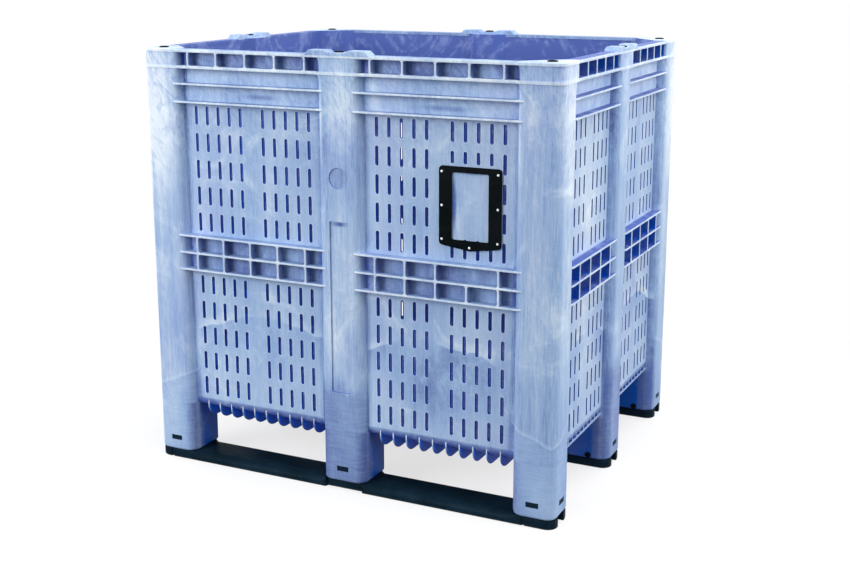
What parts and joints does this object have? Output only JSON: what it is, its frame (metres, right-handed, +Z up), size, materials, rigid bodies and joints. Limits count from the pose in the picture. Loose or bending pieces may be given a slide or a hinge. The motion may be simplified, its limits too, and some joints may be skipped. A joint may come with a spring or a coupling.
{
  "type": "pallet box",
  "caption": "Tall ventilated plastic pallet box for harvest, with slotted ribbed walls between hollow posts and runners snapped under its feet.",
  "frame": {"origin": "on the floor, under the middle of the box", "axes": "+X to the right along the long walls, +Y from the front wall, which carries the label frame, to the rear wall, +Z up"},
  "size_m": [1.2, 1, 1.171],
  "materials": {
    "body": "satin moulded, worn pale along the edges",
    "runners": "satin moulded, scuffed",
    "black_fittings": "satin moulded",
    "rivets": "plain"
  },
  "bodies": {
    "root": {"corner_post_front_left": "body", "corner_post_front_right": "body", "corner_post_rear_left": "body", "corner_post_rear_right": "body", "floor_deck": "body", "foot_centre": "body", "foot_front_left": "body", "foot_front_middle": "body", "foot_front_right": "body", "foot_middle_left": "body", "foot_middle_right": "body", "foot_rear_left": "body", "foot_rear_middle": "body", "foot_rear_right": "body", "label_frame": "black_fittings", "label_rivets": "rivets", "mid_post_front": "body", "mid_post_left": "body", "mid_post_rear": "body", "mid_post_right": "body", "panel_front_left": "body", "panel_front_right": "body", "panel_left_front": "body", "panel_left_rear": "body", "panel_rear_left": "body", "panel_rear_right": "body", "panel_right_front": "body", "panel_right_rear": "body", "plug_front": "black_fittings", "plug_front_left": "black_fittings", "plug_front_right": "black_fittings", "plug_left": "black_fittings", "plug_rear": "black_fittings", "plug_rear_left": "black_fittings", "plug_rear_right": "black_fittings", "plug_right": "black_fittings", "runner_front": "runners", "runner_middle": "runners", "runner_pins": "black_fittings", "runner_rear": "runners"}
  },
  "joints": []
}
